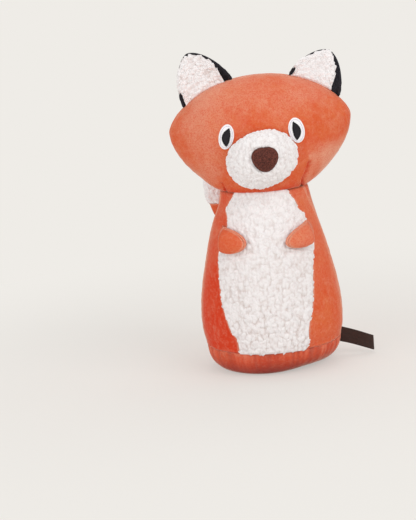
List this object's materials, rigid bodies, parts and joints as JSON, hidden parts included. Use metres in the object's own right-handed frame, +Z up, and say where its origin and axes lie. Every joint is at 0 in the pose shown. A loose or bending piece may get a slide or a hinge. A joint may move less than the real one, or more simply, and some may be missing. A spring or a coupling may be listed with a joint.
{
  "type": "plush fox",
  "caption": "Stuffed plush fox on a round flat base, with a soft neck that turns and nods, folding ears, liftable paws, a tail that wags and a squeaker behind the fleece belly.",
  "frame": {"origin": "middle of the flat underside that the fox stands on", "axes": "+Z up; the fox looks along -Y; its own left side is +X and its own right side is -X"},
  "size_m": [0.1583, 0.1563, 0.2673],
  "materials": {
    "orange_plush": "short soft pile",
    "white_fleece": "curly sherpa fleece",
    "black_plush": "short soft pile",
    "brown_thread": "satin stitch embroidery",
    "white_thread": "satin stitch embroidery",
    "black_thread": "satin stitch embroidery",
    "filling": "loose fibre fill",
    "squeaker_plastic": "soft matte",
    "ribbon": "woven ribbon"
  },
  "bodies": {
    "torso": {"belly_panel": "white_fleece", "back_panel": "orange_plush", "base_panel": "orange_plush", "side_panel_right": "orange_plush", "side_panel_left": "orange_plush", "body_stuffing": "filling", "squeaker_bladder": "squeaker_plastic", "squeaker_reed": "squeaker_plastic"},
    "neck": {"neck_stuffing": "filling"},
    "head": {"head_front_panel": "orange_plush", "head_back_panel": "orange_plush", "head_stuffing": "filling", "muzzle_cover": "white_fleece", "muzzle_filling": "filling", "nose_patch": "brown_thread", "eye_white_right": "white_thread", "eye_white_left": "white_thread", "eye_pupil_right": "black_thread", "eye_pupil_left": "black_thread"},
    "ear_right": {"ear_front_right": "white_fleece", "ear_back_right": "black_plush"},
    "ear_left": {"ear_front_left": "white_fleece", "ear_back_left": "black_plush"},
    "paw_right": {"paw_front_right": "orange_plush", "paw_back_right": "orange_plush", "paw_stuffing_right": "filling"},
    "paw_left": {"paw_front_left": "orange_plush", "paw_back_left": "orange_plush", "paw_stuffing_left": "filling"},
    "tail": {"tail_cover": "orange_plush", "tail_tip": "white_fleece", "tail_stuffing": "filling"},
    "label": {"woven_label": "ribbon"}
  },
  "joints": [
    {"name": "head_turn", "type": "hinge", "parent": "torso", "child": "neck", "pos_m": [0, 0, 0.146], "axis": [0, 0, 1], "range_deg": [-20, 20], "stiffness_Nm_per_rad": 0.3},
    {"name": "head_nod", "type": "hinge", "parent": "neck", "child": "head", "pos_m": [0, 0, 0.146], "axis": [1, 0, 0], "range_deg": [-6, 6], "stiffness_Nm_per_rad": 0.8},
    {"name": "ear_fold_right", "type": "hinge", "parent": "head", "child": "ear_right", "pos_m": [-0.03949, 0, 0.23176], "axis": [0.9139, 0, 0.4059], "range_deg": [-20, 30], "stiffness_Nm_per_rad": 0.03},
    {"name": "ear_fold_left", "type": "hinge", "parent": "head", "child": "ear_left", "pos_m": [0.04699, 0, 0.22803], "axis": [0.8695, 0, -0.4939], "range_deg": [-20, 30], "stiffness_Nm_per_rad": 0.03},
    {"name": "paw_lift_right", "type": "hinge", "parent": "torso", "child": "paw_right", "pos_m": [-0.0364, -0.02689, 0.1135], "axis": [0.2601, 0.0569, 0.9639], "range_deg": [-60, 0], "stiffness_Nm_per_rad": 0.02},
    {"name": "paw_lift_left", "type": "hinge", "parent": "torso", "child": "paw_left", "pos_m": [0.0364, -0.02689, 0.1135], "axis": [-0.2601, 0.0569, 0.9639], "range_deg": [0, 60], "stiffness_Nm_per_rad": 0.02},
    {"name": "tail_wag", "type": "hinge", "parent": "torso", "child": "tail", "pos_m": [0, 0.05275, 0.036], "axis": [0, 1, 0], "range_deg": [-18, 18], "stiffness_Nm_per_rad": 0.2},
    {"name": "label_flap", "type": "hinge", "parent": "torso", "child": "label", "pos_m": [0.05691, 0.0072, 0.018], "axis": [0, 0, 1], "range_deg": [-60, 60], "stiffness_Nm_per_rad": 0.002}
  ]
}
